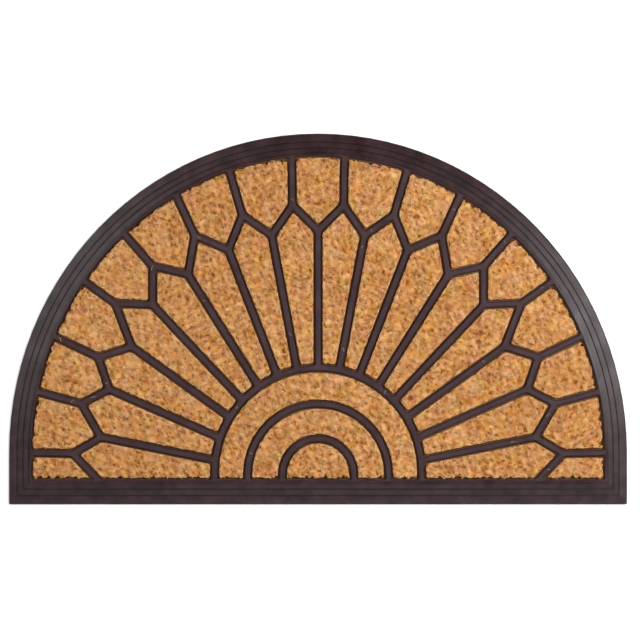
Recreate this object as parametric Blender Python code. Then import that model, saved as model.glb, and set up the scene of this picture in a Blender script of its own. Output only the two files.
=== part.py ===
"""Half-round doormat: a moulded rubber tray with coir inlays in the cells of its fan lattice.

The mat lies flat on z = 0. X runs along its straight foot and Y points to the crown of the
arch, with the origin at the middle of the plan. All sizes are in metres.
"""
import math
from collections import namedtuple

import bmesh
import bpy
from mathutils import Vector

MM = 0.001

# Plan: a straight foot, two short upright legs and a half-elliptic arch
WIDTH = 762 * MM
DEPTH = 457.2 * MM
LEG = 63.5 * MM
ARCH_STEPS = 56            # straight pieces in the whole arch
ARCH_SIDES = 4             # straight pieces in one cell's side along the arch

# Ribbed border: how wide it is along the arch and along the foot
BAND = 28 * MM
FOOT_BAND = 30.5 * MM

# Heights above the ground
FLOOR = 2.5 * MM
RIB_TOP = 9 * MM
COIR_TOP = 10 * MM

# Lattice ribs and the inlays between them
RIB_WIDTH = 7.2 * MM       # at its base
RIB_LEAN = 1.2 * MM        # how far each side of a rib leans in towards its top
RIB_LEAN_DROP = 2 * MM     # how far below the top it starts to lean
SEAM = 2.15 * MM           # open seam between an inlay and the rubber wall around it
GLUE_LINE = 0.3 * MM       # an inlay lies this far above the tray's floor
CORNER_TRIM = 3 * MM       # how far from a corner its rounding starts
TRIM_SHARE = 0.4           # most of a short side that the rounding may take
CORNER_TURN = math.radians(20)  # a corner that turns less stays as it is
CHORD_SAG = 0.3 * MM       # how far a chord may leave its true arc

# Fan: its rays start from a point on the foot and end on the outer half ring
FAN_RISE = 28.7 * MM

# Half rings at the foot of the fan: radius, and how far the centre is above the foot
Ring = namedtuple("Ring", "radius rise")
OUTER_RING = Ring(127.6 * MM, 40.6 * MM)
MIDDLE_RING = Ring(86.9 * MM, 36.8 * MM)
CENTRE_RING = Ring(44.1 * MM, 36.8 * MM)
HEAD_FOOT = 271.5 * MM     # where the lowest petal head meets the foot, from the middle

HALF = WIDTH / 2
FOOT_Y = -DEPTH / 2
SPRING_Y = FOOT_Y + LEG
ARCH_RISE = DEPTH - LEG
BAND_FOOT_Y = FOOT_Y + FOOT_BAND
FAN_POINT = Vector((0, FOOT_Y + FAN_RISE))
HEAD_FOOT_POINT = Vector((-HEAD_FOOT, BAND_FOOT_Y))
RIB_HALF = RIB_WIDTH / 2

# One row for each petal from the foot to the crown. Angles are in degrees above the foot,
# seen from the fan point. A tip is a petal's point, a shoulder is where two petals meet on
# a ray, and spoke_turn is where on the arch the spoke from the tip ends.
Petal = namedtuple("Petal", "tip_angle tip_reach spoke_turn ray_angle shoulder_reach")
PETALS = (
    Petal(6.4, 304.0 * MM, 0.0, 11.4, 273.2 * MM),
    Petal(18.1, 307.0 * MM, 11.8, 23.7, 281.3 * MM),
    Petal(29.4, 311.0 * MM, 23.0, 35.8, 283.2 * MM),
    Petal(41.2, 332.4 * MM, 35.2, 46.8, 297.8 * MM),
    Petal(52.4, 334.1 * MM, 47.4, 57.8, 300.8 * MM),
    Petal(63.3, 338.4 * MM, 60.2, 68.8, 305.4 * MM),
    Petal(74.1, 340.8 * MM, 71.9, 79.3, 308.1 * MM),
    Petal(84.7, 341.3 * MM, 84.7, 90.0, 308.6 * MM),
)

# Section of the border, a row for each bend from the outer edge to the flat inner band.
# Two shallow grooves and a faint step part four bands that rise gently inward
Bend = namedtuple("Bend", "inset height")
BORDER = (
    Bend(0.0, 0.0),
    Bend(0.0, 1.8 * MM),
    Bend(1.2 * MM, 3.1 * MM),
    Bend(4.6 * MM, 4.2 * MM),
    Bend(8.9 * MM, 5.0 * MM),
    Bend(10.2 * MM, 4.75 * MM),
    Bend(11.6 * MM, 5.4 * MM),
    Bend(16.1 * MM, 6.4 * MM),
    Bend(17.5 * MM, 6.15 * MM),
    Bend(18.9 * MM, 6.8 * MM),
    Bend(22.8 * MM, 7.7 * MM),
    Bend(23.6 * MM, 7.75 * MM),
    Bend(24.4 * MM, 8.2 * MM),
    Bend(26.0 * MM, RIB_TOP),
)

# Section of an inlay's rim, from the tray's floor to the top of the pile
RIM = (
    Bend(0.0, FLOOR + GLUE_LINE),
    Bend(0.0, COIR_TOP - 1.7 * MM),
    Bend(0.7 * MM, COIR_TOP - 0.6 * MM),
    Bend(2.0 * MM, COIR_TOP),
)


def arch_point(turn, inset):
    """Point of the arch moved inward by inset. turn runs from 0 on the right to pi."""
    across, along = math.cos(turn), math.sin(turn)
    outward = Vector((across / HALF, along / ARCH_RISE)).normalized()
    return Vector((HALF * across, SPRING_Y + ARCH_RISE * along)) - inset * outward


def mat_outline(inset):
    """Counter-clockwise outline of the mat moved inward, the foot in step with the arch."""
    foot = FOOT_Y + inset * FOOT_BAND / BAND
    arch = [arch_point(math.pi * step / ARCH_STEPS, inset) for step in range(ARCH_STEPS + 1)]
    return [Vector((HALF - inset, foot)), *arch, Vector((inset - HALF, foot))]


def ring_centre(ring):
    """Centre of a half ring."""
    return Vector((0, FOOT_Y + ring.rise))


def ring_arc(ring, start, end):
    """Points of an arc about a ring's centre, both ends in, close enough to the true arc."""
    chord_angle = 2 * math.acos(1 - CHORD_SAG / ring.radius)
    steps = math.ceil(abs(end - start) / chord_angle)
    turns = [start + (end - start) * step / steps for step in range(steps + 1)]
    centre = ring_centre(ring)
    return [centre + ring.radius * Vector((math.cos(turn), math.sin(turn))) for turn in turns]


def fan_point(angle, reach):
    """Point of the left half of the fan. angle is in degrees above the foot."""
    turn = math.radians(180 - angle)
    return FAN_POINT + reach * Vector((math.cos(turn), math.sin(turn)))


def ray_end(angle):
    """Angle about the outer ring's centre, in radians, at which a ray meets the ring."""
    rise = OUTER_RING.rise - FAN_RISE
    sine = math.sin(math.radians(angle))
    reach = rise * sine + math.sqrt(OUTER_RING.radius ** 2 - rise ** 2 * (1 - sine ** 2))
    meeting = fan_point(angle, reach) - ring_centre(OUTER_RING)
    return math.atan2(meeting.y, meeting.x)


class Cell:
    """Outline of one cell of the lattice: drawn lines, each with the wall's distance inward."""

    def __init__(self, name):
        self.name = name
        self.points = []
        self.gaps = []

    def side(self, points, gap):
        """Add points to the outline. The edges that start at them have the wall at gap."""
        for point in points:
            self.points.append(point)
            self.gaps.append(gap)

    def mirrored(self, name):
        """The same cell on the other half of the mat."""
        twin = Cell(name)
        twin.points = [Vector((-point.x, point.y)) for point in reversed(self.points)]
        # An edge now starts at its other end, so its gap moves on by one point
        twin.gaps = [*reversed(self.gaps[:-1]), self.gaps[-1]]
        return twin

    def outline(self, inset):
        """Rounded outline of the cell's wall, moved inward by inset."""
        corners = []
        for index, point in enumerate(self.points):
            before = (point - self.points[index - 1]).normalized()
            after = (self.points[(index + 1) % len(self.points)] - point).normalized()
            into_before = Vector((-before.y, before.x))
            into_after = Vector((-after.y, after.x))
            gap_before = self.gaps[index - 1] + inset
            gap_after = self.gaps[index] + inset
            # The moved corner lies gap_before inside one edge and gap_after inside the other
            cosine = into_before.dot(into_after)
            spread = 1 - cosine ** 2
            corners.append(
                point
                + into_before * ((gap_before - cosine * gap_after) / spread)
                + into_after * ((gap_after - cosine * gap_before) / spread)
            )
        return rounded(corners)


def rounded(corners):
    """Replace each sharp corner of an outline with a short curve of three points."""
    points = []
    for index, corner in enumerate(corners):
        before = corner - corners[index - 1]
        after = corners[(index + 1) % len(corners)] - corner
        if before.angle(after) < CORNER_TURN:
            points.append(corner)
            continue
        start = corner - before.normalized() * min(CORNER_TRIM, before.length * TRIM_SHARE)
        end = corner + after.normalized() * min(CORNER_TRIM, after.length * TRIM_SHARE)
        middle = (start + 2 * corner + end) / 4
        points += [start, middle, end]
    return points


def tip_point(petal):
    """Point of a petal of the left half."""
    return fan_point(petal.tip_angle, petal.tip_reach)


def shoulder_point(petal):
    """Where a petal of the left half meets the next one up, on the ray between them."""
    return fan_point(petal.ray_angle, petal.shoulder_reach)


def corner_cell(name):
    """Four-sided cell in the left corner of the foot, below the lowest spoke."""
    cell = Cell(name)
    cell.side([HEAD_FOOT_POINT, tip_point(PETALS[0])], RIB_HALF)
    cell.side([arch_point(math.pi, BAND), Vector((BAND - HALF, BAND_FOOT_Y))], 0)
    return cell


def petal_cell(name, petal, lower):
    """Cell between a petal's ray and the ray of the next petal down, or the foot if none."""
    cell = Cell(name)
    cell.side([shoulder_point(petal), tip_point(petal)], RIB_HALF)
    if lower:
        ring_start = ray_end(lower.ray_angle)
        cell.side([shoulder_point(lower)], RIB_HALF)
    else:
        ring_start = math.pi
        cell.side([HEAD_FOOT_POINT], 0)
        cell.side([Vector((-OUTER_RING.radius, BAND_FOOT_Y))], RIB_HALF)
    cell.side(ring_arc(OUTER_RING, ring_start, ray_end(petal.ray_angle)), RIB_HALF)
    return cell


def outer_cell(name, low, high_tip, high_turn):
    """Cell between the spoke of petal low and the next spoke up, from high_tip to high_turn."""
    turns = [
        math.radians(180 - high_turn + (high_turn - low.spoke_turn) * step / ARCH_SIDES)
        for step in range(ARCH_SIDES + 1)
    ]
    arch = [arch_point(turn, BAND) for turn in turns]
    cell = Cell(name)
    cell.side([shoulder_point(low), high_tip], RIB_HALF)
    cell.side(arch[:-1], 0)
    cell.side([arch[-1], tip_point(low)], RIB_HALF)
    return cell


def ring_cell(name, ring, inner):
    """Half ring of coir at the foot of the fan, or the half disc where there is no inner."""
    cell = Cell(name)
    cell.side([Vector((ring.radius, BAND_FOOT_Y))], RIB_HALF)
    cell.side(ring_arc(ring, 0, math.pi), RIB_HALF)
    cell.side([Vector((-ring.radius, BAND_FOOT_Y))], 0)
    if inner:
        cell.side([Vector((-inner.radius, BAND_FOOT_Y))], RIB_HALF)
        cell.side(ring_arc(inner, math.pi, 0), RIB_HALF)
        cell.side([Vector((inner.radius, BAND_FOOT_Y))], 0)
    return cell


def all_cells():
    """Every cell of the lattice: the left half and its mirror image, the crown, the rings."""
    corner = corner_cell("coir_corner_left")
    cells = [corner, corner.mirrored("coir_corner_right")]

    lower = None
    for number, petal in enumerate(PETALS, start=1):
        cell = petal_cell(f"coir_petal_{number:02d}", petal, lower)
        twin_number = 2 * len(PETALS) + 1 - number
        cells += [cell, cell.mirrored(f"coir_petal_{twin_number:02d}")]
        lower = petal

    for number, (low, high) in enumerate(zip(PETALS, PETALS[1:]), start=1):
        cell = outer_cell(f"coir_outer_{number:02d}", low, tip_point(high), high.spoke_turn)
        twin_number = 2 * len(PETALS) - number
        cells += [cell, cell.mirrored(f"coir_outer_{twin_number:02d}")]

    # The cell at the crown is its own mirror image
    crown = PETALS[-1]
    tip = tip_point(crown)
    right_tip = Vector((-tip.x, tip.y))
    name = f"coir_outer_{len(PETALS):02d}"
    cells.append(outer_cell(name, crown, right_tip, 180 - crown.spoke_turn))

    cells.append(ring_cell("coir_ring_outer", OUTER_RING, MIDDLE_RING))
    cells.append(ring_cell("coir_ring_middle", MIDDLE_RING, CENTRE_RING))
    cells.append(ring_cell("coir_ring_centre", CENTRE_RING, None))
    return cells


def loft(mesh, loops):
    """Closed body through (outline, height) loops of equal length, capped at both ends."""
    rings = []
    for outline, height in loops:
        corners = [mesh.verts.new((point.x, point.y, height)) for point in outline]
        edges = [
            mesh.edges.new((corners[index - 1], corner))
            for index, corner in enumerate(corners)
        ]
        rings.append(edges)
    for lower, upper in zip(rings, rings[1:]):
        bmesh.ops.bridge_loops(mesh, edges=lower + upper)
    for ring in (rings[0], rings[-1]):
        bmesh.ops.contextual_create(mesh, geom=ring)


def add_object(name, mesh, material):
    """Turn a bmesh into a named object with its faces pointing out."""
    bmesh.ops.recalc_face_normals(mesh, faces=mesh.faces)
    data = bpy.data.meshes.new(name)
    mesh.to_mesh(data)
    mesh.free()
    if material:
        data.materials.append(material)
    item = bpy.data.objects.new(name, data)
    bpy.context.scene.collection.objects.link(item)
    return item


def make_material(name, colour, roughness):
    """Plain finish in the real colour, given as linear red, green and blue."""
    material = bpy.data.materials.new(name)
    material.use_nodes = True
    shader = material.node_tree.nodes["Principled BSDF"]
    shader.inputs["Base Color"].default_value = (*colour, 1)
    shader.inputs["Roughness"].default_value = roughness
    shader.inputs["Metallic"].default_value = 0
    return material


def make_pocket_cutter(cells):
    """One guide body with a prism for every cell, flared so that the ribs lean in."""
    mesh = bmesh.new()
    shoulder = RIB_TOP - RIB_LEAN_DROP
    above = RIB_TOP + RIB_LEAN_DROP
    for cell in cells:
        wall = cell.outline(0)
        flare = cell.outline(-RIB_LEAN)
        loft(mesh, [(wall, FLOOR), (wall, shoulder), (flare, RIB_TOP), (flare, above)])
    cutter = add_object("pocket_cutter", mesh, None)
    cutter.hide_render = True
    cutter.display_type = "WIRE"
    return cutter


def make_tray(cells, rubber):
    """The moulded rubber: ribbed border, floor and lattice in one piece."""
    mesh = bmesh.new()
    loft(mesh, [(mat_outline(bend.inset), bend.height) for bend in BORDER])
    tray = add_object("rubber_tray", mesh, rubber)
    pockets = tray.modifiers.new("pockets", "BOOLEAN")
    pockets.operation = "DIFFERENCE"
    pockets.solver = "EXACT"
    pockets.object = make_pocket_cutter(cells)


def make_inlay(cell, coir):
    """One coir inlay: the cell's shape less the seam, with a soft rim and a flat top."""
    mesh = bmesh.new()
    loft(mesh, [(cell.outline(SEAM + bend.inset), bend.height) for bend in RIM])
    add_object(cell.name, mesh, coir)


def main():
    """Clear the scene and build the mat."""
    for item in list(bpy.data.objects):
        bpy.data.objects.remove(item)
    rubber = make_material("dark rubber", (0.056, 0.040, 0.041), 0.55)
    coir = make_material("natural coir", (0.552, 0.258, 0.093), 0.95)
    cells = all_cells()
    make_tray(cells, rubber)
    for cell in cells:
        make_inlay(cell, coir)


main()
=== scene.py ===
# %% [markdown]
# # A half-round coir doormat
#
# The real mat is one moulded sheet of dark rubber. Its raised ribs draw a rising sun, and the
# 36 hollows between the ribs each hold an inlay of coir, the short stiff fibre of the coconut
# husk. The packed model gives every solid at its true size and place. This script adds what a
# plain solid can't show: softly moulded edges, the matted pile, and a finish for each material.
#
# The first step loads that model.

import math
from collections import namedtuple

import bmesh
import bpy
import numpy as np
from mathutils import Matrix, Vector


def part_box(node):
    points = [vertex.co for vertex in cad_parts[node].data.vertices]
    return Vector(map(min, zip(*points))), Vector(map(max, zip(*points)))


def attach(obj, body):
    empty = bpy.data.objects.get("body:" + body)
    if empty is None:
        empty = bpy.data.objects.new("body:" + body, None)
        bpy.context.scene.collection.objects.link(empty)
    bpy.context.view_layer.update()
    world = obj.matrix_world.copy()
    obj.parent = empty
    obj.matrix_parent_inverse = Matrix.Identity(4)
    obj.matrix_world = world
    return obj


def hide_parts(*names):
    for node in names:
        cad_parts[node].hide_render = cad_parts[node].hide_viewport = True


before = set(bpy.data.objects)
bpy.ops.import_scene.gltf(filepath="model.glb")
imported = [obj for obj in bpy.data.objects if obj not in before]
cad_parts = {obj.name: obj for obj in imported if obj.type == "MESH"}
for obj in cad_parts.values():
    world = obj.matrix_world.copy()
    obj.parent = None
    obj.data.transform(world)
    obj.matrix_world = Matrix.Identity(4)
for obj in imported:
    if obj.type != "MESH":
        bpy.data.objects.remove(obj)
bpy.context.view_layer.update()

# %% [markdown]
# ## Heights and names
#
# The mat lies flat on z = 0. The ribs end a little lower than the coir, so that feet meet the
# brush and not the rubber. Both heights are read from the solids, so they can't drift apart.

# %% Read the heights that every step shares
MM = 0.001
BORDER_WIDTH = 26.5 * MM
TRAY = "rubber_tray"
INLAYS = sorted(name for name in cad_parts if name.startswith("coir_"))
RIB_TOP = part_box(TRAY)[1].z
PILE_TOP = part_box(INLAYS[0])[1].z
print(len(INLAYS), "inlays")
print("ribs end at", round(RIB_TOP / MM, 2), "mm, the pile at", round(PILE_TOP / MM, 2), "mm")

# %% [markdown]
# ## Copies of the solids
#
# A solid arrives as loose triangles. Merging the corners that lie on each other closes it
# again, and dissolving the edges inside flat areas gives back the whole faces that a maker
# would draw. The flat underside is then a single face, and its corners, in order, are the
# outline of the piece seen from above.

# %% Copy a solid as a closed bmesh
MERGE_GAP = 0.002 * MM
FLAT_TURN = math.radians(0.5)


def solid_copy(name):
    """A closed copy of a packed solid with its flat areas made whole."""
    mesh = bmesh.new()
    mesh.from_mesh(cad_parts[name].data)
    bmesh.ops.remove_doubles(mesh, verts=mesh.verts, dist=MERGE_GAP)
    bmesh.ops.dissolve_limit(mesh, angle_limit=FLAT_TURN, verts=mesh.verts, edges=mesh.edges)
    return mesh


def outline_of(mesh):
    """Counter-clockwise plan outline of a solid, from its flat underside."""
    underside = max(mesh.faces, key=lambda face: -face.normal.z * face.calc_area())
    return np.array([corner.co.xy for corner in reversed(underside.verts)])


tray_mesh = solid_copy(TRAY)
mat_outline = outline_of(tray_mesh)
print("tray copy:", len(tray_mesh.faces), "faces,", len(mat_outline), "corners round the mat")


# %% Turn a mesh into a piece that rides on the mat
def add_piece(name, data, finish):
    """A finished piece at the origin, in the finish that it is given."""
    data.materials.append(finish)
    piece = bpy.data.objects.new(name, data)
    bpy.context.scene.collection.objects.link(piece)
    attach(piece, "root")
    return piece


def mesh_data(name, mesh):
    """Smoothly shaded mesh data from a bmesh, which is freed."""
    data = bpy.data.meshes.new(name)
    mesh.to_mesh(data)
    mesh.free()
    data.shade_smooth()
    return data


# %% [markdown]
# ## Finishes
#
# The finishes are built from nodes that read Object coordinates, which are metres on the mat,
# so a lump of 2 mm is written as 2 mm. A small class keeps the wiring out of the way: its
# methods add nodes and return their output, ready to feed the next.

# %% A small kit for building finishes
NOISE_MIDDLE = (0.3, 0.7)  # most of a noise's values lie between these
Grain = namedtuple("Grain", "size detail height strength")


class Finish:
    """A procedural finish around one Principled shader."""

    def __init__(self, name, shine, roughness=0.5):
        self.material = bpy.data.materials.new(name)
        self.material.use_nodes = True
        self.tree = self.material.node_tree
        self.shader = self.tree.nodes["Principled BSDF"]
        self.shader.inputs["Roughness"].default_value = roughness
        self.shader.inputs["Specular IOR Level"].default_value = shine
        self.place = self.add("ShaderNodeTexCoord").outputs["Object"]

    def add(self, kind, **inputs):
        """A node of this kind. An input is set to a number, or linked to an output."""
        node = self.tree.nodes.new(kind)
        for name, value in inputs.items():
            self.feed(node.inputs[name], value)
        return node

    def feed(self, socket, value):
        """Link an output to a socket, or set the socket to a plain value."""
        if isinstance(value, bpy.types.NodeSocket):
            self.tree.links.new(value, socket)
        else:
            socket.default_value = value

    def noise(self, size, detail):
        """Cloudy noise whose lumps are about size across."""
        node = self.add("ShaderNodeTexNoise", Vector=self.place, Scale=1 / size, Detail=detail)
        return node.outputs["Fac"]

    def spread(self, value, low, high):
        """Stretch the middle of a noise, or of a value round 0.5, over low to high."""
        first, last = NOISE_MIDDLE
        ends = {"From Min": first, "From Max": last, "To Min": low, "To Max": high}
        return self.add("ShaderNodeMapRange", Value=value, **ends).outputs["Result"]

    def colours(self, value, stops):
        """Turn a value from 0 to 1 into a colour. A stop is (place, colour), both ends first."""
        node = self.add("ShaderNodeValToRGB", Fac=value)
        ramp = node.color_ramp
        for number, (place, colour) in enumerate(stops):
            stop = ramp.elements[number] if number < 2 else ramp.elements.new(place)
            stop.position = place
            stop.color = (*colour, 1)
        return node.outputs["Color"]

    def blend(self, share, first, second):
        """Mix two colours. Only the node's colour sockets are enabled once it mixes colours."""
        node = self.add("ShaderNodeMix")
        node.data_type = "RGBA"
        sockets = [socket for socket in node.inputs if socket.enabled]
        for socket, value in zip(sockets, (share, first, second)):
            self.feed(socket, value)
        return next(socket for socket in node.outputs if socket.enabled)

    def add_grain(self, grain):
        """Raise the surface by a noise, on top of any grain that is there already."""
        height = self.noise(grain.size, grain.detail)
        node = self.add(
            "ShaderNodeBump", Height=height, Distance=grain.height, Strength=grain.strength
        )
        before = self.shader.inputs["Normal"].links
        if before:
            self.feed(node.inputs["Normal"], before[0].from_socket)
        self.feed(self.shader.inputs["Normal"], node.outputs["Normal"])


print("finishes are made with:", [name for name in vars(Finish) if not name.startswith("_")])

# %% [markdown]
# ## Rubber
#
# Moulded rubber of this kind is a dark, slightly warm grey and has a satin skin with a faint
# bluish bloom, so its sheen is tinted. It copies the fine texture of the mould, and it is a
# little shinier where the mould was polished. The tops of the ribs are paler in patches: partly
# scuffed by feet, partly a painted sheen where the flat tops face the light. Brown dust from the
# coir gathers in the seams round the inlays, and the bottoms of the border's grooves are
# darkened by painted shade. So the colour has slow clouds, with the scuffs and painted sheen,
# the dust and the painted groove shade mixed in where the mesh says so, the roughness changes in
# patches, and two sizes of bump give the grain.

# %% Make the rubber finish
RUBBER_DARK = (0.0153, 0.005, 0.0062)
RUBBER_LIGHT = (0.037, 0.0165, 0.019)
# paler rib tops: partly scuffed by feet, partly painted sheen
SCUFF_SHEEN_COLOUR = (0.044, 0.0255, 0.031)
DUST = (0.16, 0.070, 0.030)
# painted shade for the bottoms of the border's grooves
GROOVE_SHADE_COLOUR = (0.003, 0.001, 0.0012)
BLOOM = (0.93, 1.0, 1.0)
CLOUD = 14 * MM            # size of the clouds in its colour
SCUFF_SHEEN_PATCH = 18 * MM      # size of the patches of scuffing and painted sheen
LEAST_SCUFF_SHEEN = 0.3          # how much scuff and painted sheen a rib's top has between the patches
POLISH_PATCH = 30 * MM     # size of the patches that differ in shine
ROUGHNESS = (0.30, 0.42)
RUBBER_GRAINS = (
    Grain(2.2 * MM, 3.0, 0.05 * MM, 0.5),
    Grain(0.5 * MM, 2.0, 0.03 * MM, 0.6),
)


def own_value(finish, name):
    """The value of a mesh attribute, as an output to feed on."""
    node = finish.add("ShaderNodeAttribute")
    node.attribute_name = name
    return node.outputs["Fac"]


rubber = Finish("moulded_rubber_finish", shine=0.212)
rubber.shader.inputs["Specular Tint"].default_value = (*BLOOM, 1)
clouds = rubber.spread(rubber.noise(CLOUD, detail=5.0), 0.0, 1.0)
skin = rubber.colours(clouds, [(0.0, RUBBER_DARK), (1.0, RUBBER_LIGHT)])
# The rib tops are paler in patches, partly scuffs and partly painted sheen.
scuffs = rubber.add("ShaderNodeMath", Value=own_value(rubber, "scuff"))
scuffs.operation = "MULTIPLY"
patches = rubber.spread(rubber.noise(SCUFF_SHEEN_PATCH, detail=3.0), LEAST_SCUFF_SHEEN, 1.0)
rubber.feed(scuffs.inputs[1], patches)
scuffed = rubber.blend(scuffs.outputs["Value"], skin, (*SCUFF_SHEEN_COLOUR, 1))
dusty = rubber.blend(own_value(rubber, "dust"), scuffed, (*DUST, 1))
# Painted shade: the bottoms of the border's grooves are darkened.
groove_shaded = rubber.blend(own_value(rubber, "groove"), dusty, (*GROOVE_SHADE_COLOUR, 1))
rubber.feed(rubber.shader.inputs["Base Color"], groove_shaded)
polish = rubber.spread(rubber.noise(POLISH_PATCH, detail=4.0), *ROUGHNESS)
rubber.feed(rubber.shader.inputs["Roughness"], polish)
for grain in RUBBER_GRAINS:
    rubber.add_grain(grain)
print("rubber:", len(rubber.tree.nodes), "nodes")

# %% [markdown]
# ## The moulded tray
#
# A mould has no knife edges: every edge of the real tray is rounded by a few tenths of a
# millimetre, and those small rounds are what catch the light along the ribs and the border.
# The solid has the right bends but sharp ones, so its copy gets a bevel with three segments.
# The two corners at the foot are rounded more, as a hand would feel them, and that is done
# first, on their upright edges alone. The two grooves of the border have soft bottoms, so
# their lowest corners are raised part of the way to their neighbours. Three attributes of
# the mesh then say where the finish gets painted shade in the grooves, dust, and scuffs with
# painted sheen, and weighted normals keep the flat tops flat. What lies in the border and what
# within it is told by the distance from the mat's edge, so the first cell measures that.

# %% Measure how far a point lies inside an outline
def inside(plan, outline):
    """How far plan points lie inside an outline, and the number of the side nearest to each."""
    starts = outline
    runs = np.roll(outline, -1, axis=0) - outline
    away = plan[..., None, :] - starts
    share = np.clip((away * runs).sum(-1) / (runs * runs).sum(-1), 0, 1)
    gaps = np.linalg.norm(away - share[..., None] * runs, axis=-1)
    x, y = plan[..., None, 0], plan[..., None, 1]
    spans = (starts[:, 1] > y) != (starts[:, 1] + runs[:, 1] > y)
    rise = np.where(runs[:, 1] == 0, 1, runs[:, 1])
    left = x < starts[:, 0] + runs[:, 0] * (y - starts[:, 1]) / rise
    odd = (spans & left).sum(-1) % 2 == 1
    return np.where(odd, 1, -1) * gaps.min(-1), gaps.argmin(-1)


def add_values(data, name, values):
    """Give every corner of a mesh its own value."""
    values = np.ascontiguousarray(values, dtype=float)
    data.attributes.new(name, "FLOAT", "POINT").data.foreach_set("value", values)


middle_depth = inside(np.zeros((1, 2)), mat_outline)[0][0]
print("middle of the mat lies", round(float(middle_depth) / MM), "mm inside its edge")

# %% Round the two foot corners
CORNER_ROUND = 1.6 * MM
CORNER_SEGMENTS = 4
FOOT_GAP = 0.01 * MM       # a corner this close to the foot's edge lies on it
foot_y = mat_outline[:, 1].min()
corner_edges = [
    edge
    for edge in tray_mesh.edges
    if all(corner.co.y < foot_y + FOOT_GAP for corner in edge.verts)
    and edge.verts[0].co.xy == edge.verts[1].co.xy
]
bmesh.ops.bevel(
    tray_mesh, geom=corner_edges, offset=CORNER_ROUND, offset_type="OFFSET",
    segments=CORNER_SEGMENTS, profile=0.5, affect="EDGES", material=-1,
)
print(len(corner_edges), "corner edges rounded")

# %% Ease the bottoms of the border's grooves
ABOVE_FOOT = 1 * MM        # no groove is as low as this, and the underside is lower
GROOVE_RISE = 0.1 * MM     # what a groove has above it on at least one side
GROOVE_EASE = 0.6          # how far a sharp bottom is raised to the mean of its neighbours
GROOVE_SHADE = 0.85        # how far painted shade darkens the bottoms, from 0 to 1


def at_groove(corner):
    """Is this corner of the tray at the bottom of a groove, or on some floor?"""
    rises = [edge.other_vert(corner).co.z - corner.co.z for edge in corner.link_edges]
    lowest = corner.co.z > ABOVE_FOOT and min(rises) > -MERGE_GAP
    return lowest and max(rises) > GROOVE_RISE


tray_points = np.array([corner.co for corner in tray_mesh.verts])
in_seam = inside(tray_points[:, :2], mat_outline)[0] > BORDER_WIDTH
in_groove = ~in_seam & np.array([at_groove(corner) for corner in tray_mesh.verts])
bottoms = [corner for corner, low in zip(tray_mesh.verts, in_groove) if low]
bmesh.ops.smooth_vert(tray_mesh, verts=bottoms, factor=GROOVE_EASE, use_axis_z=True)
print(len(bottoms), "corners at the bottoms of the grooves raised")

# %% Soften every other edge of the tray
EDGE_ROUND = 0.35 * MM
EDGE_SEGMENTS = 3
SHARP_TURN = math.radians(12)  # an edge that turns less stays as it is
DUST_DEPTH = 8 * MM        # a seam this deep would be all dust
tray_data = mesh_data("moulded_tray", tray_mesh)
depths = RIB_TOP - tray_points[:, 2]
# Painted shade at the bottoms of the grooves.
add_values(tray_data, "groove", GROOVE_SHADE * in_groove)
add_values(tray_data, "dust", in_seam * np.clip(depths / DUST_DEPTH, 0, 1))
# Scuffs and painted sheen on the flat tops of the ribs.
add_values(tray_data, "scuff", in_seam * (depths < MERGE_GAP).astype(float))
tray = add_piece(tray_data.name, tray_data, rubber.material)
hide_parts(TRAY)
soften = tray.modifiers.new("soft edges", "BEVEL")
soften.width = EDGE_ROUND
soften.segments = EDGE_SEGMENTS
soften.limit_method = "ANGLE"
soften.angle_limit = SHARP_TURN
tray.modifiers.new("flat tops", "WEIGHTED_NORMAL")
print("tray:", len(tray.data.polygons), "faces before the bevel")

# %% [markdown]
# ## How the coir lies
#
# The fibres of a coir mat are matted: they lie almost flat in all directions, in lumps a few
# millimetres across with dark pits between. A few fields of crossed waves describe that
# anywhere on the mat: its lumps, the pits, the slow drift of tone from one handful of fibre
# to the next, broad paler and darker areas a few hundred millimetres across, and how the edge
# frays along the border. The bed under the pile and every fibre on it read the same fields, so
# they rise and fall together, and their tone is painted paler on the lumps and darker in the
# hollows and pits, which is painted light and shade.

# %% Define the fields that bed and fibres share
WAVES = 48


def wave_field(seed, shortest, longest):
    """A smooth random field over the plan, with mean 0 and mostly from -1 to 1."""
    dice = np.random.default_rng(seed)
    sizes = dice.uniform(shortest, longest, WAVES)
    ways = dice.uniform(0, 2 * math.pi, WAVES)
    starts = dice.uniform(0, 2 * math.pi, WAVES)
    turns = 2 * math.pi / sizes * np.array([np.cos(ways), np.sin(ways)])

    def field(plan):
        waves = np.sin(plan @ turns + starts)
        return np.clip(waves.sum(axis=-1) / math.sqrt(WAVES / 2), -2, 2)

    return field


lumps = wave_field(11, 5 * MM, 15 * MM)
holes = wave_field(12, 4 * MM, 9 * MM)
drifts = wave_field(13, 9 * MM, 50 * MM)
# broad paler and darker areas of tone over the whole mat
broad_areas = wave_field(4118, 150 * MM, 500 * MM)
frays = wave_field(14, 4 * MM, 14 * MM)

PIT_START = 1.25           # value of the field of holes at which pits begin
PIT_RAMP = 0.45            # and how much further they are at their deepest
NOTCH = 3.4 * MM           # how deep a notch is for each unit of the field of frays
NOTCH_START = 0.2
NOTCH_MOST = 1.5


def pits(plan):
    """1 in the middle of a pit, 0 on most of the mat."""
    return np.clip((holes(plan) - PIT_START) / PIT_RAMP, 0, 1)


def notches(plan):
    """How far the edge along the border is eaten in at these plan points."""
    return NOTCH * np.clip(frays(plan) - NOTCH_START, 0, NOTCH_MOST)


sample = np.random.default_rng(1).uniform(-0.3, 0.3, (4000, 2))
print("lumps spread by", round(lumps(sample).std(), 2))
print("pits cover a share of", round((pits(sample) > 0).mean(), 3))

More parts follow.
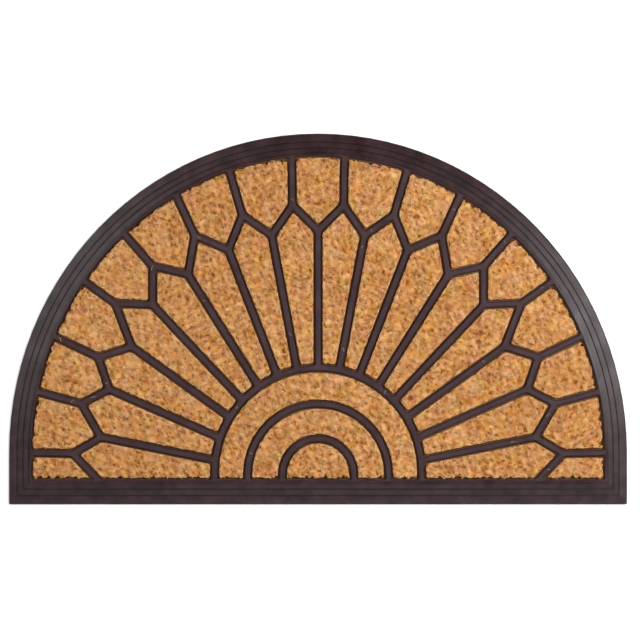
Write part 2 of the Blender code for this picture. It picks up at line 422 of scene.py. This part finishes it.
# %% [markdown]
# ## Coir finishes
#
# Coir runs from straw to dark brown. Each fibre carries its own tone as an attribute of its
# mesh, from 0 for dark to 1 for pale, and a ramp turns that tone into colour. A fibre's ends,
# where it dives into the mat, get a darker tone, which is painted shade. Handfuls of husk from
# different nuts also differ in hue, so two more attributes, gold and blush, lean the colour to a
# strong yellow or to a soft pink. Both come from slow fields over the mat, because neighbours
# are from the same handful. The bed under the fibres has a darker tone of its own, painted shade
# for its depth under the pile, with a fine noise on top of it.

# %% Make the two coir finishes
COIR_STOPS = [
    (0.0, (0.16, 0.042, 0.006)),
    (1.0, (0.79, 0.555, 0.295)),
    (0.35, (0.43, 0.186, 0.054)),
    (0.65, (0.64, 0.357, 0.150)),
]
# A lean has the name of its attribute, the seed of its field, and how far it moves the hue
# and the strength of the colour at most.
Lean = namedtuple("Lean", "name seed hue strength")
LEANS = (
    Lean("gold", 15, 0.0038, 0.050),
    Lean("blush", 16, -0.0070, 0.016),
)
LEAN_SPREAD = 0.1          # how far a field mostly moves its lean from 0.5
LEAN_SIZES = (5 * MM, 45 * MM)
SPECKLE = 0.14             # how much the noise on the bed changes its tone
SPECKLE_SIZE = 0.9 * MM
FIBRE_GRAIN = Grain(0.3 * MM, 2.0, 0.04 * MM, 0.5)
BED_GRAIN = Grain(0.9 * MM, 4.0, 0.3 * MM, 0.7)
lean_fields = [wave_field(lean.seed, *LEAN_SIZES) for lean in LEANS]


def leans_at(plan):
    """How far the coir leans to gold and to blush at plan points, with 0.5 for not at all."""
    return np.stack([0.5 + LEAN_SPREAD * field(plan) for field in lean_fields], axis=-1)


def coir_colour(finish, tone):
    """Colour for a tone, leaning to gold and to blush by the mesh's own attributes."""
    colour = finish.colours(tone, COIR_STOPS)
    for lean in LEANS:
        value = own_value(finish, lean.name)
        colour = finish.add(
            "ShaderNodeHueSaturation",
            Hue=finish.spread(value, 0.5 - lean.hue, 0.5 + lean.hue),
            Saturation=finish.spread(value, 1 - lean.strength, 1 + lean.strength),
            Color=colour,
        ).outputs["Color"]
    finish.feed(finish.shader.inputs["Base Color"], colour)


fibre = Finish("coir_fibre_finish", roughness=0.8, shine=0.05)
coir_colour(fibre, own_value(fibre, "tone"))
fibre.add_grain(FIBRE_GRAIN)

bed = Finish("coir_bed_finish", roughness=0.9, shine=0.05)
speckle = bed.add("ShaderNodeMath", Value=own_value(bed, "tone"))
speckle.operation = "ADD"
specks = bed.spread(bed.noise(SPECKLE_SIZE, detail=3.0), -SPECKLE, SPECKLE)
bed.feed(speckle.inputs[1], specks)
coir_colour(bed, speckle.outputs["Value"])
bed.add_grain(BED_GRAIN)
print("coir:", len(fibre.tree.nodes), "and", len(bed.tree.nodes), "nodes")

# %% [markdown]
# ## The bed of an inlay
#
# Under the loose fibres an inlay is a dense felt. Its solid is copied, its top is lowered by
# the thickness of the loose pile, and cutting planes give top and sides a grid fine enough
# for the lumps. Cutting with planes keeps the outline exactly, which subdividing wouldn't.
# Where an inlay meets the border its edge is frayed, so it is eaten in by the notches there.
# The push inward fades with depth, so that no part of the grid folds over the next.

# %% Shape the bed of an inlay
PILE_DEPTH = 0.9 * MM      # of the loose pile on top of the bed
GRID = 2.5 * MM
LUMP_HEIGHT = 0.35 * MM
PIT_DEPTH = 0.8 * MM
BORDER_REACH = 34 * MM     # a side with its middle this near to the mat's edge is ragged
NOTCH_FADE = 8 * MM        # how far in the bed is still pushed by a notch
UNDERSIDE = -0.5           # a normal with a lower z than this is the underside's
# painted shade: the bed is darker than the fibres for its depth under the pile
BED_SHADE_TONE = 0.4
# painted light and shade: the coir is paler on its lumps and darker in the hollows
LUMP_LIGHT_SHADE = 0.084
DRIFT_TONE = 0.033
BROAD_AREA_TONE = 0.022
# painted shade in the pits
PIT_SHADE_TONE = 0.34


def border_sides(outline):
    """For each side of an inlay's outline: is it a side along the mat's border?"""
    middles = (outline + np.roll(outline, -1, axis=0)) / 2
    return inside(middles, mat_outline)[0] < BORDER_REACH


def cut_grid(mesh):
    """Cut everything but the underside of an inlay by planes along X and along Y."""
    corners = np.array([corner.co for corner in mesh.verts])
    for axis, way in ((0, (1, 0, 0)), (1, (0, 1, 0))):
        first, last = corners[:, axis].min(), corners[:, axis].max()
        for place in np.arange(first + GRID / 2, last, GRID):
            skin = [face for face in mesh.faces if face.normal.z > UNDERSIDE]
            edges = {edge for face in skin for edge in face.edges}
            around = {corner for face in skin for corner in face.verts}
            bmesh.ops.bisect_plane(
                mesh, geom=[*skin, *edges, *around], dist=MERGE_GAP,
                plane_co=[part * place for part in way], plane_no=way,
            )


def surface_tone(plan):
    """Tone shift at plan points: painted light and shade of lumps and pits, and slow drifts."""
    slow = DRIFT_TONE * drifts(plan) + BROAD_AREA_TONE * broad_areas(plan)
    return LUMP_LIGHT_SHADE * lumps(plan) + slow - PIT_SHADE_TONE * pits(plan)


def make_bed(name, mesh, outline):
    """Closed, lumpy bed of one inlay, from a copy of its solid."""
    cut_grid(mesh)
    plan = np.array([corner.co.xy for corner in mesh.verts])
    depth, side = inside(plan, outline)
    runs = np.roll(outline, -1, axis=0) - outline
    inward = np.stack([-runs[:, 1], runs[:, 0]], axis=-1)[side]
    inward /= np.linalg.norm(inward, axis=-1, keepdims=True)
    push = notches(plan) * border_sides(outline)[side] * np.clip(1 - depth / NOTCH_FADE, 0, 1)
    moves = inward * push[:, None]
    heights = lumps(plan) * LUMP_HEIGHT - pits(plan) * PIT_DEPTH - PILE_DEPTH
    floor_of_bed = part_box(name)[0].z
    for corner, height, move in zip(mesh.verts, heights, moves):
        if corner.co.z > floor_of_bed + MERGE_GAP:
            corner.co.x += move[0]
            corner.co.y += move[1]
            corner.co.z += height
    data = mesh_data(name.replace("coir", "coir_bed"), mesh)
    add_values(data, "tone", np.clip(BED_SHADE_TONE + surface_tone(plan), 0, 1))
    for lean, values in zip(LEANS, leans_at(plan).T):
        add_values(data, lean.name, values)
    return data


print("the grid of a bed is", round(GRID / MM, 1), "mm wide")

# %% [markdown]
# ## The fibres
#
# A fibre is a thin tube with three sides, drawn to a point at both ends. It is bent in plan by
# a curl, lifted in its middle and sunk at its ends, so that it looks woven into its
# neighbours. There are tens of thousands, so they aren't separate objects: NumPy works out the
# points of a whole layer at once, and each inlay's fibres become one joined mesh. A table
# gives the layers, from the short fibres of the felt to the few long curls on top. Fibres
# cling together in clumps that share a heading and a tone, and those are the short strokes
# that one sees from a distance.

# %% Name the layers of the pile
# A layer has so many fibres per cm2, so many to a clump and so many points to a centreline.
# Its curl is in radians, its lift is how high its fibres lie above the bed, and its tone is
# from 0, dark, to 1, pale.
Layer = namedtuple("Layer", "per_cm2 clump points length curl lift thickness tone")
LAYERS = (
    Layer(13, 4, 4, 6.5 * MM, 0.7, 0.25 * MM, 0.70 * MM, 0.51),
    Layer(10, 5, 5, 7.5 * MM, 1.1, 0.50 * MM, 0.64 * MM, 0.59),
    Layer(4, 3, 6, 9.5 * MM, 1.8, 0.75 * MM, 0.48 * MM, 0.65),
)
# The rim isn't filled by area, so it has 0 per cm2: it has a fibre for each RIM_STEP of outline.
# Its pale tone is a painted highlight where the cut edge of the pile catches the light.
RIM_LAYER = Layer(0, 1, 5, 7.0 * MM, 0.35, 0.7 * MM, 0.55 * MM, 0.88)
RIM_STEP = 2.2 * MM
RIM_SET_IN = (0.2 * MM, 2.8 * MM)
CLUMP_REACH = 0.7 * MM     # how far the fibres of a clump lie from its middle
CLUMP_FAN = 0.3            # how far their headings differ, in radians
END_SINK = 0.5 * MM        # how far a fibre's ends dive below its middle
FREE_END = 0.08            # share of ends that stand up instead
FREE_RISE = 0.6            # and how much of the sink they rise by
LENGTH_RANGE = (0.55, 1.35)
LIFT_RANGE = (0.2, 1.4)
RADIUS_RANGE = (0.7, 1.3)
SIDES = 3
tube_triangles = [2 * SIDES * (layer.points - 2) for layer in LAYERS]
print("triangles a cm2:", sum(n * layer.per_cm2 for n, layer in zip(tube_triangles, LAYERS)))


# %% Bend a layer of fibres
def bend_fibres(dice, layer, centres, headings):
    """Points of the fibres' centrelines: plan (fibre, point, xy) and height (fibre, point)."""
    count = len(centres)
    steps = np.linspace(-1, 1, layer.points)
    middles = (steps[:-1] + steps[1:]) / 2
    lengths = layer.length * dice.uniform(*LENGTH_RANGE, (count, 1))
    curls = dice.normal(0, layer.curl, (count, 1))
    swings = dice.normal(0, layer.curl / 2, (count, 1))
    # A curl turns the fibre one way all along. A swing turns its middle against its ends.
    turns = headings[:, None] + curls * middles + swings * (middles ** 2 - 0.5)
    strides = lengths / len(middles) * np.array([np.cos(turns), np.sin(turns)])
    walk = np.cumsum(strides, axis=2)
    walk = np.concatenate([np.zeros((2, count, 1)), walk], axis=2)
    walk -= walk.mean(axis=2, keepdims=True)
    plan = centres[:, None, :] + np.moveaxis(walk, 0, -1)

    free = dice.random((count, 2)) < FREE_END
    start_rise = np.where(free[:, :1], FREE_RISE, -1.0) * np.clip(-steps, 0, 1) ** 2
    end_rise = np.where(free[:, 1:], FREE_RISE, -1.0) * np.clip(steps, 0, 1) ** 2
    lift = layer.lift * dice.uniform(*LIFT_RANGE, (count, 1))
    height = PILE_TOP - PILE_DEPTH + lift + END_SINK * (start_rise + end_rise)
    return plan, height


trial, _ = bend_fibres(np.random.default_rng(2), LAYERS[1], np.zeros((500, 2)), np.zeros(500))
reach = np.linalg.norm(trial[:, -1] - trial[:, 0], axis=1).mean()
print("a fibre of the middle layer reaches", round(float(reach) / MM, 1), "mm from end to end")


# %% Trim the fibres of an inlay at its edge
RIB_REACH = 0.25 * MM      # how far fibres may reach past the edge along a rib
RIB_NOTCH = 0.6 * MM       # and how far that line is frayed back at most
BORDER_HANG = 1.4 * MM     # how far fibres may hang over the edge along the border
TRIM_ROUNDS = 4
TRIM_SHARE = 0.72          # what each round leaves of a fibre that is too long


def room_inside(plan, outline, ragged):
    """How far plan points lie inside the line at which the fibres of an inlay are trimmed."""
    depth, side = inside(plan, outline)
    at_rib = RIB_NOTCH * np.clip(frays(plan), 0, 1) - RIB_REACH
    return depth - np.where(ragged[side], notches(plan) - BORDER_HANG, at_rib)


def trim(plan, centres, outline, ragged):
    """Shorten the fibres that cross the trimming line. Returns those that then fit."""
    for _ in range(TRIM_ROUNDS):
        out = (room_inside(plan, outline, ragged) < 0).any(axis=1)
        plan[out] = centres[out, None, :] + TRIM_SHARE * (plan[out] - centres[out, None, :])
    return (room_inside(plan, outline, ragged) >= 0).all(axis=1)


shortest = round(TRIM_SHARE ** TRIM_ROUNDS, 2)
print("a fibre that still doesn't fit at", shortest, "of its length is left out")

# %% Turn centrelines into tubes
Tubes = namedtuple("Tubes", "points radii tones leans")


def tube_mesh(name, layers):
    """One joined mesh of the pointed tubes of several layers."""
    corners, faces, tones, leans = [], [], [], []
    first = 0
    for tubes in layers:
        count, steps, _ = tubes.points.shape
        inner = tubes.points[:, 1:-1]
        along = tubes.points[:, 2:] - tubes.points[:, :-2]
        along /= np.linalg.norm(along, axis=-1, keepdims=True)
        across = np.stack([-along[..., 1], along[..., 0], 0 * along[..., 0]], axis=-1)
        across /= np.linalg.norm(across, axis=-1, keepdims=True)
        upward = np.cross(along, across)
        radii = tubes.radii[:, None, None]
        turns = np.arange(SIDES) * 2 * math.pi / SIDES
        rings = np.stack([
            inner + radii * (math.cos(turn) * across + math.sin(turn) * upward) for turn in turns
        ], axis=2).reshape(count, -1, 3)
        tips = tubes.points[:, :1], tubes.points[:, -1:]
        corners.append(np.concatenate([tips[0], rings, tips[1]], axis=1).reshape(-1, 3))
        size = SIDES * (steps - 2) + 2
        ring_tones = np.repeat(tubes.tones[:, 1:-1], SIDES, axis=1)
        tip_tones = tubes.tones[:, :1], tubes.tones[:, -1:]
        tones.append(np.concatenate([tip_tones[0], ring_tones, tip_tones[1]], axis=1))
        leans.append(np.repeat(tubes.leans, size, axis=0))
        starts = first + size * np.arange(count)
        faces.append((starts[:, None, None] + tube_faces(steps)).reshape(-1, 3))
        first += size * count
    data = bpy.data.meshes.new(name)
    data.from_pydata(np.concatenate(corners).tolist(), [], np.concatenate(faces).tolist())
    add_values(data, "tone", np.concatenate([layer.ravel() for layer in tones]))
    for lean, values in zip(LEANS, np.concatenate(leans).T):
        add_values(data, lean.name, values)
    data.shade_smooth()
    return data


def tube_faces(steps):
    """Triangles of one tube: a fan at each pointed end and two to each side between rings."""
    last = SIDES * (steps - 2) + 1
    faces = []
    for side in range(SIDES):
        near, far = 1 + side, 1 + (side + 1) % SIDES
        faces.append((0, far, near))
        for ring in range(0, SIDES * (steps - 3), SIDES):
            faces.append((near + ring, far + ring, far + ring + SIDES))
            faces.append((near + ring, far + ring + SIDES, near + ring + SIDES))
        end = SIDES * (steps - 3)
        faces.append((last, near + end, far + end))
    return np.array(faces)


print("a tube of 5 points has", len(tube_faces(5)), "triangles")

# %% [markdown]
# ## The pile of an inlay
#
# Clumps are dropped at random over the inlay, and a fibre that crosses the cut edge is
# shortened until it fits, as the maker's knife does. Along the ribs the knife leaves a nearly
# clean edge with fibres pressed along it, whose pale tone is a painted highlight where the edge
# catches the light. Along the border the edge is frayed: it is eaten in by the notches, and
# between them fibres hang over by a millimetre or so.

# %% Lay the pile of an inlay
TONE_SPREAD = 0.043        # how far the tones of clumps mostly differ from their layer's
CLUMP_LEAN = 0.02          # how far a clump strays from the leans around it
SHADE_CLUMP_SHARE = 0.1           # share of clumps made dark as painted shade among the fibres
SHADE_CLUMP_STEP = 0.29
END_SHADE = 0.1            # painted shade: how much darker a fibre's ends are than its middle
OVER_RUBBER = 1.3          # a fibre over the rubber lies this many of its radii above it
EDGE_GAP = 0.2 * MM        # clumps grow at least this far inside the edge
CM2_PER_M2 = 1e4


def drop_points(dice, outline, count):
    """Random plan points inside an outline."""
    low, high = outline.min(axis=0), outline.max(axis=0)
    kept = np.empty((0, 2))
    while len(kept) < count:
        points = dice.uniform(low, high, (count, 2))
        kept = np.concatenate([kept, points[inside(points, outline)[0] > EDGE_GAP]])
    return kept[:count]


def rim_points(dice, outline):
    """Points a little inside the outline, one each RIM_STEP, and the way the edge runs."""
    runs = np.roll(outline, -1, axis=0) - outline
    lengths = np.linalg.norm(runs, axis=1)
    travel = np.arange(0, lengths.sum(), RIM_STEP)
    side = np.searchsorted(np.cumsum(lengths), travel, side="right")
    share = (travel - np.concatenate([[0], np.cumsum(lengths)])[side]) / lengths[side]
    ways = np.arctan2(runs[side, 1], runs[side, 0])
    inward = np.stack([-np.sin(ways), np.cos(ways)], axis=-1)
    set_in = dice.uniform(*RIM_SET_IN, (len(travel), 1))
    return outline[side] + share[:, None] * runs[side] + inward * set_in, ways


def lay_layer(dice, layer, outline, ragged, middles, headings):
    """Fibres of one layer, grown in clumps at these middles and trimmed to the outline."""
    shared_tone = dice.normal(0, TONE_SPREAD, len(middles))
    # Painted shade: a share of clumps is made dark to stand for the shadows among the fibres.
    shared_tone -= SHADE_CLUMP_STEP * (dice.random(len(middles)) < SHADE_CLUMP_SHARE)
    shared_lean = leans_at(middles) + dice.normal(0, CLUMP_LEAN, (len(middles), len(LEANS)))
    clumps = np.repeat(np.arange(len(middles)), layer.clump)
    centres = middles[clumps] + dice.normal(0, CLUMP_REACH, (len(clumps), 2)) * (layer.clump > 1)
    plan, height = bend_fibres(
        dice, layer, centres, headings[clumps] + dice.normal(0, CLUMP_FAN, len(clumps))
    )
    keep = trim(plan, centres, outline, ragged)
    plan, height, clumps = plan[keep], height[keep], clumps[keep]
    height = height + lumps(plan) * LUMP_HEIGHT - pits(plan) * PIT_DEPTH
    radii = layer.thickness / 2 * dice.uniform(*RADIUS_RANGE, len(plan))
    over_rubber = inside(plan, outline)[0] < 0
    clear = np.maximum(height, RIB_TOP + OVER_RUBBER * radii[:, None])
    height = np.where(over_rubber, clear, height)
    own_tone = shared_tone[clumps] + dice.normal(0, TONE_SPREAD / 2, len(plan))
    # Painted shade: a fibre's ends, where it dives into the mat, are darker.
    dive_shade = END_SHADE * np.linspace(-1, 1, layer.points) ** 2
    tones = np.clip(layer.tone + own_tone[:, None] + surface_tone(plan) - dive_shade, 0, 1)
    points = np.concatenate([plan, height[..., None]], axis=-1)
    return Tubes(points, radii, tones, shared_lean[clumps])


def make_pile(name, outline, area, dice):
    """All the loose fibres of one inlay as one mesh."""
    ragged = border_sides(outline)
    layers = []
    for layer in LAYERS:
        clumps = round(layer.per_cm2 * area * CM2_PER_M2 / layer.clump)
        middles = drop_points(dice, outline, clumps)
        headings = dice.uniform(0, 2 * math.pi, len(middles))
        layers.append(lay_layer(dice, layer, outline, ragged, middles, headings))
    middles, ways = rim_points(dice, outline)
    layers.append(lay_layer(dice, RIM_LAYER, outline, ragged, middles, ways))
    return tube_mesh(name.replace("coir", "coir_pile"), layers)


print("painted dark clumps in", round(100 * SHADE_CLUMP_SHARE), "of 100 clumps")

# %% [markdown]
# ## All the inlays
#
# One loop dresses the 36 inlays. The bed stands for the packed solid and the pile rides on it.
# The flat size of an inlay is that of the smallest rectangle of coir matting that it can be cut
# from, which for a slanting petal is a slanting rectangle.

# %% Dress every inlay
def flat_size(outline):
    """Sides of the smallest rectangle around an outline, and the area of the outline itself."""
    runs = np.roll(outline, -1, axis=0) - outline
    ways = runs / np.linalg.norm(runs, axis=1, keepdims=True)
    across = np.stack([-ways[:, 1], ways[:, 0]], axis=-1)
    sizes = np.stack([np.ptp(outline @ ways.T, axis=0), np.ptp(outline @ across.T, axis=0)])
    x, y = outline.T
    area = abs(x @ np.roll(y, 1) - y @ np.roll(x, 1)) / 2
    return sizes[:, sizes.prod(axis=0).argmin()].tolist(), float(area)


dice = np.random.default_rng(36)
triangles = {"bed": 0, "pile": 0}
outlines = []
for name in INLAYS:
    copy = solid_copy(name)
    outline = outline_of(copy)
    outlines.append(outline)
    size, area = flat_size(outline)
    bed_data = make_bed(name, copy, outline)
    pile_data = make_pile(name, outline, area, dice)
    felt = add_piece(bed_data.name, bed_data, bed.material)
    pile = add_piece(pile_data.name, pile_data, fibre.material)
    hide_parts(name)
    triangles["bed"] += sum(len(face.vertices) - 2 for face in bed_data.polygons)
    triangles["pile"] += len(pile_data.polygons)
print("triangles in beds and fibres:", triangles)

# %% [markdown]
# ## Stray fibres
#
# Cut coir sheds. A few loose fibres lie across the ribs, pale on the dark rubber, with their
# ends on the pile at either side. They are tubes like the others, dropped on random points
# along the middles of the ribs.

# %% Drop the stray fibres
STRAY = Layer(0, 1, 6, 6.5 * MM, 0.8, 0, 0.34 * MM, 1.0)
STRAYS = 22                # on the whole mat
RIB_MIDDLE = 5.7 * MM      # from an inlay's edge to the middle of the rib beside it


def rib_point(dice, outline):
    """A random point along the middles of the ribs around an inlay."""
    runs = np.roll(outline, -1, axis=0) - outline
    lengths = np.linalg.norm(runs, axis=1)
    chances = lengths * ~border_sides(outline)
    side = dice.choice(len(outline), p=chances / chances.sum())
    outward = np.array([runs[side, 1], -runs[side, 0]]) / lengths[side]
    return outline[side] + dice.random() * runs[side] + RIB_MIDDLE * outward


hosts = dice.choice(len(outlines), STRAYS, replace=False)
centres = np.array([rib_point(dice, outlines[host]) for host in hosts])
plan, _ = bend_fibres(dice, STRAY, centres, dice.uniform(0, 2 * math.pi, len(centres)))
steps = np.linspace(-1, 1, STRAY.points)
bow = RIB_TOP + STRAY.thickness + (PILE_TOP - RIB_TOP) * steps ** 2
heights = np.broadcast_to(bow[:, None], (*plan.shape[:2], 1))
strays = Tubes(
    points=np.concatenate([plan, heights], axis=-1),
    radii=STRAY.thickness / 2 * dice.uniform(*RADIUS_RANGE, len(centres)),
    tones=np.full(plan.shape[:2], STRAY.tone),
    leans=leans_at(centres),
)
stray_data = tube_mesh("stray_fibres", [strays])
add_piece(stray_data.name, stray_data, fibre.material)
print(len(centres), "stray fibres")

# %% [markdown]
# ## Floor, light and camera
#
# The photograph shows the mat from straight above on plain white. A long lens far away keeps
# the ribs upright, and the field is set so that the mat is as wide in the frame as there. A
# pale floor lies under it. The light comes from an even world and three soft lamps. The main
# lamp stands close by on the right, where the border has its sheen and the coir is brighter.
# A wider one further off on the left gives that side its fainter sheen, and a weak broad one
# in front lights the foot.

# %% Lay the floor
FLOOR_SIZE = 8.0
FLOOR_WHITE = (0.92, 0.92, 0.92)
floor_mesh = bmesh.new()
bmesh.ops.create_grid(floor_mesh, x_segments=1, y_segments=1, size=FLOOR_SIZE / 2)
floor_finish = Finish("pale_floor", roughness=0.9, shine=0.1)
floor_finish.shader.inputs["Base Color"].default_value = (*FLOOR_WHITE, 1)
floor = bpy.data.objects.new("floor", mesh_data("floor", floor_mesh))
floor.data.materials.append(floor_finish.material)
bpy.context.scene.collection.objects.link(floor)
print("floor", FLOOR_SIZE, "m wide")

# %% Set the light
WORLD_STRENGTH = 0.21
# Azimuth and tilt are in degrees, distance, width and height in metres, and power in watts.
Lamp = namedtuple("Lamp", "name azimuth tilt distance width height power")
LAMPS = (
    Lamp("main lamp", 14, 46, 1.8, 0.5, 1.7, 38),
    Lamp("side lamp", 155, 40, 2.6, 1.3, 2.0, 38),
    Lamp("front lamp", -75, 38, 2.6, 2.2, 1.2, 17),
)

world = bpy.data.worlds.new("even light")
bpy.context.scene.world = world
world.use_nodes = True
world.node_tree.nodes["Background"].inputs["Color"].default_value = (1, 1, 1, 1)
world.node_tree.nodes["Background"].inputs["Strength"].default_value = WORLD_STRENGTH

for lamp in LAMPS:
    light = bpy.data.lights.new(lamp.name, "AREA")
    light.shape = "RECTANGLE"
    light.size, light.size_y = lamp.width, lamp.height
    light.energy = lamp.power
    holder = bpy.data.objects.new(lamp.name, light)
    turn, tilt = math.radians(lamp.azimuth), math.radians(lamp.tilt)
    way = math.sin(tilt) * math.cos(turn), math.sin(tilt) * math.sin(turn), math.cos(tilt)
    holder.location = [lamp.distance * part for part in way]
    holder.rotation_euler = (-holder.location).to_track_quat("-Z", "Y").to_euler()
    bpy.context.scene.collection.objects.link(holder)
bpy.context.scene.view_settings.view_transform = "Standard"
print(len(LAMPS), "lamps and an even world")

# %% Set the camera
FIELD = 788.9 * MM         # width of the frame on the mat
FIELD_HEIGHT = 5 * MM      # the field is measured at this height on the mat
MAT_SHIFT = (2.4 * MM, -1.4 * MM)   # the frame's middle, seen from the middle of the mat
LENS = 300
SENSOR = 36
FARTHEST = 20              # what lies further away isn't drawn, in metres

camera_data = bpy.data.cameras.new("camera")
camera_data.lens = LENS
camera_data.sensor_width = SENSOR
camera_data.clip_end = FARTHEST
camera = bpy.data.objects.new("camera", camera_data)
camera.location = (*MAT_SHIFT, FIELD_HEIGHT + FIELD * LENS / SENSOR)
bpy.context.scene.collection.objects.link(camera)
bpy.context.scene.camera = camera
print("camera", round(camera.location.z, 2), "m above the mat")

# %% [markdown]
